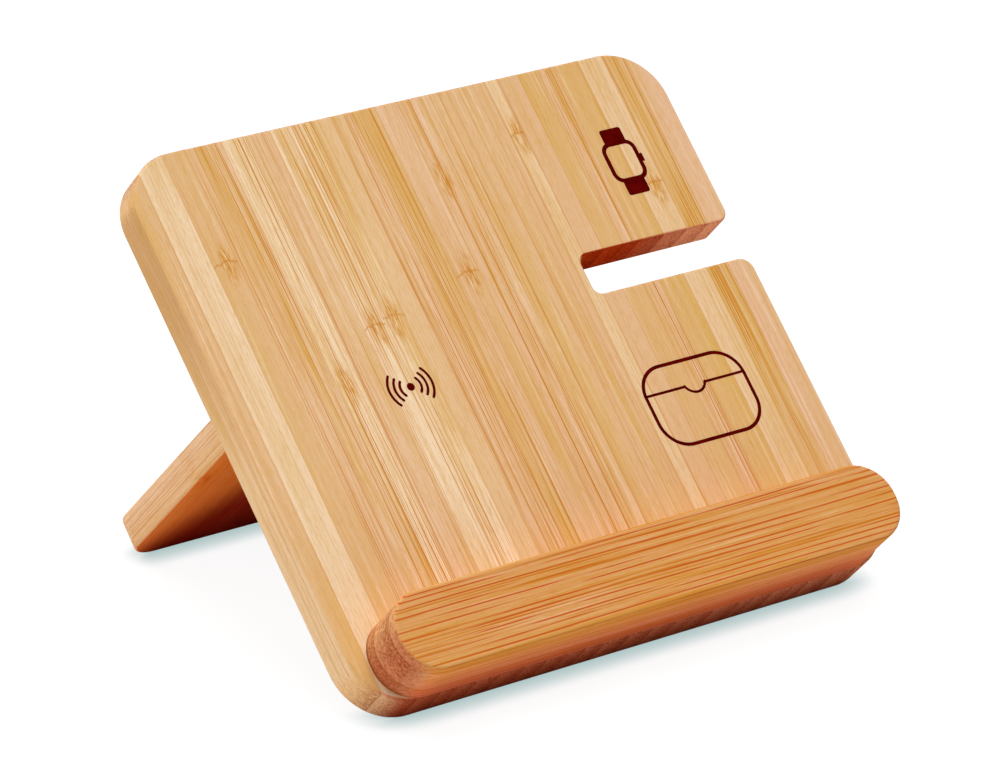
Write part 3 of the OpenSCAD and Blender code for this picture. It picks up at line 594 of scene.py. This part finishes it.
# %% Metal, plastic and electronics
STEEL = {"Light": linear(214, 214, 216), "Dark": linear(176, 177, 182), "Coarse": 0.4, "Fine": 9.0,
         "Smooth": 0.24, "Rough": 0.42}
dress(mottled_material("hinge_steel", STEEL, 1.0), "panel_leaves", "leg_leaves")
dress(mottled_material("pin_steel", STEEL | {"Smooth": 0.16, "Rough": 0.3}, 1.0), "hinge_pins")
dress(mottled_material("screw_steel", STEEL | {"Smooth": 0.2, "Rough": 0.36}, 1.0),
      "panel_leaf_screws", "leg_leaf_screws", "board_screws")
dress(mottled_material("shell_steel", STEEL | {"Smooth": 0.2, "Rough": 0.32}, 1.0), "inlet_shell")
dress(mottled_material("magnet_nickel", {"Light": linear(222, 216, 204), "Dark": linear(190, 184, 172),
                                         "Smooth": 0.14, "Rough": 0.26}, 1.0), "watch_magnet")
dress(mottled_material("black_screw", {"Light": linear(58, 58, 60), "Dark": linear(30, 30, 32),
                                       "Smooth": 0.3, "Rough": 0.5}, 0.9), "cover_screws")
dress(mottled_material("cover_plastic", {"Light": linear(41, 41, 43), "Dark": linear(35, 35, 36),
                                         "Coarse": 0.5, "Fine": 9.0, "Smooth": 0.5, "Rough": 0.66}, relief=0.5),
      "back_cover")
dress(mottled_material("copper_wire", {"Light": linear(226, 140, 92), "Dark": linear(176, 90, 52),
                                       "Smooth": 0.22, "Rough": 0.4}, 1.0),
      "phone_coil", "earbud_coil", "watch_coil")
dress(mottled_material("ferrite", {"Light": linear(84, 80, 78), "Dark": linear(48, 46, 46),
                                   "Smooth": 0.6, "Rough": 0.8}, relief=0.4),
      "phone_ferrite", "earbud_ferrite", "watch_ferrite")
dress(mottled_material("board_green", {"Light": linear(46, 118, 70), "Dark": linear(22, 74, 44),
                                       "Smooth": 0.25, "Rough": 0.45}), "circuit_board")
dress(mottled_material("chip_black", {"Light": linear(50, 50, 52), "Dark": linear(28, 28, 30),
                                      "Smooth": 0.5, "Rough": 0.7}), "controller_chips")
dress(mottled_material("inductor_grey", {"Light": linear(112, 110, 108), "Dark": linear(70, 69, 68),
                                         "Smooth": 0.5, "Rough": 0.75}, relief=0.4), "power_inductors")
dress(mottled_material("capacitor_tan", {"Light": linear(196, 164, 122), "Dark": linear(160, 126, 84),
                                         "Smooth": 0.35, "Rough": 0.5}), "capacitors")
dress(mottled_material("tongue_black", {"Light": linear(40, 40, 42), "Dark": linear(24, 24, 26),
                                        "Smooth": 0.35, "Rough": 0.5}), "inlet_tongue")
dress(mottled_material("lead_insulation", {"Light": linear(176, 44, 36), "Dark": linear(120, 26, 24),
                                           "Smooth": 0.35, "Rough": 0.55}),
      "phone_lead", "earbud_lead", "watch_lead")
print("dressed", len(NODES), "CAD nodes")

# %% [markdown]
# The marks on the face are burnt in with a laser and look like dark red-brown ink. A bump or a
# painted mask would blur at their edges, so each line is a thin plate of its own, set into the
# wood with its top a hair above the face. The outlines are formulas: arcs and rounded rectangles.

# %% Plates on the face
MARK_TOP = 0.03
MARK_ROOT = -0.2
ARC_STEPS = 24


def arc(centre, radius, start, end, steps=ARC_STEPS):
    """Points of an arc: centre plus radius times (cosine, sine), from start to end in degrees."""
    angles = np.radians(np.linspace(start, end, steps))
    return np.asarray(centre) + radius * np.stack([np.cos(angles), np.sin(angles)], -1)


def rounded(centre, width, height, radius):
    """A rounded rectangle: four quarter arcs, each round its own corner centre."""
    half = np.array([width, height]) / 2 - radius
    corners = [(1, 1, 0), (-1, 1, 90), (-1, -1, 180), (1, -1, 270)]
    return np.concatenate([arc(np.asarray(centre) + half * (sx, sy), radius, start, start + 90)
                           for sx, sy, start in corners])


def capsule(centre, length, width, turned=0.0):
    """A bar with round ends: a rounded rectangle whose radius is half its width."""
    shape = rounded((0, 0), length, width, width / 2 - 1e-6)
    c, s = math.cos(math.radians(turned)), math.sin(math.radians(turned))
    return np.asarray(centre) + shape @ np.array([[c, s], [-s, c]])


def bow(centre, radius, width, start, end):
    """A curved bar with round ends: the outer arc, a half circle, the inner arc, a half circle."""
    half = width / 2
    tips = [np.asarray(centre) + radius * np.array([math.cos(math.radians(a)), math.sin(math.radians(a))])
            for a in (start, end)]
    return np.concatenate([arc(centre, radius + half, start, end), arc(tips[1], half, end, end + 180, 9)[1:],
                           arc(centre, radius - half, end, start)[1:],
                           arc(tips[0], half, start + 180, start + 360, 9)[1:-1]])


def mesh_object(name, points, faces):
    mesh = bpy.data.meshes.new(name)
    mesh.from_pydata(points, [], faces)
    mesh.validate()
    mesh.update()
    obj = bpy.data.objects.new(name, mesh)
    bpy.context.scene.collection.objects.link(obj)
    return obj


def plate(name, outline, top=MARK_TOP):
    """A thin plate: the outline at the root and at the top, a wall between them and two caps."""
    n = len(outline)
    low = on_board(outline[:, 0], outline[:, 1], MARK_ROOT)
    high = on_board(outline[:, 0], outline[:, 1], top)
    i = np.arange(n)
    j = np.roll(i, -1)
    walls = np.stack([i, j, j + n, i + n], -1).tolist()
    return mesh_object(name, np.concatenate([low, high]).tolist(),
                       walls + [i[::-1].tolist(), (i + n).tolist()])


def ring(name, outer, inner):
    """A flat ring: four loops of as many points, joined in turn by walls and flats."""
    n = len(outer)
    loops = [on_board(line[:, 0], line[:, 1], w)
             for line, w in ((outer, MARK_ROOT), (outer, MARK_TOP), (inner, MARK_TOP), (inner, MARK_ROOT))]
    i = np.arange(n)
    j = np.roll(i, -1)
    faces = [np.stack([i + a * n, j + a * n, j + b * n, i + b * n], -1)
             for a, b in ((0, 1), (1, 2), (2, 3), (3, 0))]
    return mesh_object(name, np.concatenate(loops).tolist(), np.concatenate(faces).tolist())


# %% [markdown]
# Three marks say what goes where: waves for a phone, a dial with two strap stubs for a watch, and
# a rounded case with a lid seam for earbuds. The dial and the case are plain designs of this
# script's own.

# %% Phone, watch and case marks
LINE = 0.9
PHONE_MARK = (61.8, 94.8)
WATCH_MARK = (172.4, 150.0)
CASE_MARK = (158.2, 66.9)

marks = [plate("mark_phone_dot", arc(PHONE_MARK, 1.35, 0, 345, 24))]
for side, middle in (("left", 180), ("right", 0)):
    for k, radius in enumerate((3.7, 5.7, 7.8)):
        marks.append(plate(f"mark_wave_{side}_{k + 1}", bow(PHONE_MARK, radius, LINE, middle - 40, middle + 40)))

DIAL_LINE = 1.5
dial = (13.2, 14.6, 3.8)
marks.append(ring("mark_watch_dial", rounded(WATCH_MARK, *dial),
                  rounded(WATCH_MARK, dial[0] - 2 * DIAL_LINE, dial[1] - 2 * DIAL_LINE, dial[2] - DIAL_LINE)))
for way, label in ((1, "upper"), (-1, "lower")):
    marks.append(plate(f"mark_watch_strap_{label}",
                       rounded((WATCH_MARK[0], WATCH_MARK[1] + way * 9.2), 8.2, 5.4, 0.9), 1.4 * MARK_TOP))
marks.append(plate("mark_watch_button", rounded((WATCH_MARK[0] + 7.05, WATCH_MARK[1]), 0.9, 3.0, 0.35)))

CASE_LINE = 1.2
case = (39.6, 28.6, 9.8)
marks.append(ring("mark_case", rounded(CASE_MARK, *case),
                  rounded(CASE_MARK, case[0] - 2 * CASE_LINE, case[1] - 2 * CASE_LINE, case[2] - CASE_LINE)))
seam_v = CASE_MARK[1] + 5.0
for way, label in ((-1, "left"), (1, "right")):
    marks.append(plate(f"mark_case_seam_{label}",
                       rounded((CASE_MARK[0] + way * 11.6, seam_v), 15.6, LINE, LINE / 2 - 0.01)))
marks.append(plate("mark_case_notch", bow((CASE_MARK[0], seam_v + 1.6), 4.2, LINE, 200, 340)))
print("made", len(marks), "marks")

# %% Marks' finish
burnt = mottled_material("burnt_mark", {"Light": linear(98, 6, 3), "Dark": linear(72, 2, 2),
                                        "Fine": 3.0, "Smooth": 0.6, "Rough": 0.8}, gloss=0.0)
for mark in marks:
    mark.data.materials.append(burnt)
    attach(mark, "stand")

# %% [markdown]
# The stand is photographed on white, with only a narrow bluish shadow where it touches the floor.
# The camera, and anything that mirrors or lets light through, sees a floor that glows white and
# dims near the wood, by an occlusion mask with a short reach, and a little of its real shade is
# added. All other rays see a plain grey floor, which keeps the light thrown back up modest.

# %% Floor
FLOOR_HALF = 6.0
CONTACT_REACH = 0.010
CONTACT_SHADE = (0.38, 0.52, 0.52, 1.0)
OPEN_GLOW = (0.93, 0.93, 0.93, 1.0)
SHADE_LOSS = (0.12, 0.12, 0.12, 1.0)
FLOOR_GREY = (0.85, 0.85, 0.85, 1.0)

corners = FLOOR_HALF * np.array([(-1, -1, 0), (1, -1, 0), (1, 1, 0), (-1, 1, 0)], float)
floor = mesh_object("floor", corners.tolist(), [(0, 1, 2, 3)])
material = bpy.data.materials.new("floor_white")
material.use_nodes = True
tree = material.node_tree
tree.nodes.clear()
rays = add_node(tree, "ShaderNodeLightPath").outputs
seen = calc(tree, "ADD", calc(tree, "ADD", rays["Is Camera Ray"], rays["Is Glossy Ray"]),
            rays["Is Transmission Ray"], clamp=True)
open_air = add_node(tree, "ShaderNodeAmbientOcclusion", {"Distance": CONTACT_REACH}, samples=16).outputs["AO"]
glow_colour = blend_colours(tree, ramp(tree, open_air, 0.0, 0.85), CONTACT_SHADE, OPEN_GLOW)
matt = add_node(tree, "ShaderNodeBsdfDiffuse", {"Color": blend_colours(tree, seen, FLOOR_GREY, SHADE_LOSS)})
glow = add_node(tree, "ShaderNodeEmission", {"Color": glow_colour, "Strength": seen})
total = add_node(tree, "ShaderNodeAddShader", {0: matt.outputs[0], 1: glow.outputs[0]})
output = add_node(tree, "ShaderNodeOutputMaterial")
tree.links.new(total.outputs[0], output.inputs[0])
floor.data.materials.append(material)

# %% [markdown]
# Sun lamps light everything evenly, however far the floor runs, and a wide angle softens their
# shadows. The key comes from nearly straight above, a low one from the left lifts the side of
# the board and of the leg, and an even white surround does the rest.

# %% Lights and surround


def soft_sun(name, came_from, wide, strength):
    lamp = bpy.data.lights.new(name, "SUN")
    lamp.angle = math.radians(wide)
    lamp.energy = strength
    obj = bpy.data.objects.new(name, lamp)
    bpy.context.scene.collection.objects.link(obj)
    turn = (-Vector(came_from)).to_track_quat("-Z", "Y").to_matrix().to_4x4()
    obj.matrix_world = Matrix.Translation(Vector(came_from).normalized()) @ turn
    return obj


soft_sun("overhead", (0.1, 0.08, 1.0), 60, 3.0)
soft_sun("side", (-1.0, 0.05, 0.15), 40, 1.45)

world = bpy.data.worlds.new("surround")
bpy.context.scene.world = world
world.use_nodes = True
tree = world.node_tree
tree.nodes.clear()
rays = add_node(tree, "ShaderNodeLightPath").outputs
seen = calc(tree, "ADD", calc(tree, "ADD", rays["Is Camera Ray"], rays["Is Glossy Ray"]),
            rays["Is Transmission Ray"], clamp=True)
AMBIENT = 0.20
strength = calc(tree, "ADD", calc(tree, "MULTIPLY", seen, 1 - AMBIENT), AMBIENT)
sky = add_node(tree, "ShaderNodeBackground", {"Color": (1, 1, 1, 1), "Strength": strength})
output = add_node(tree, "ShaderNodeOutputWorld")
tree.links.new(sky.outputs[0], output.inputs[0])
bpy.context.scene.view_settings.view_transform = "Standard"
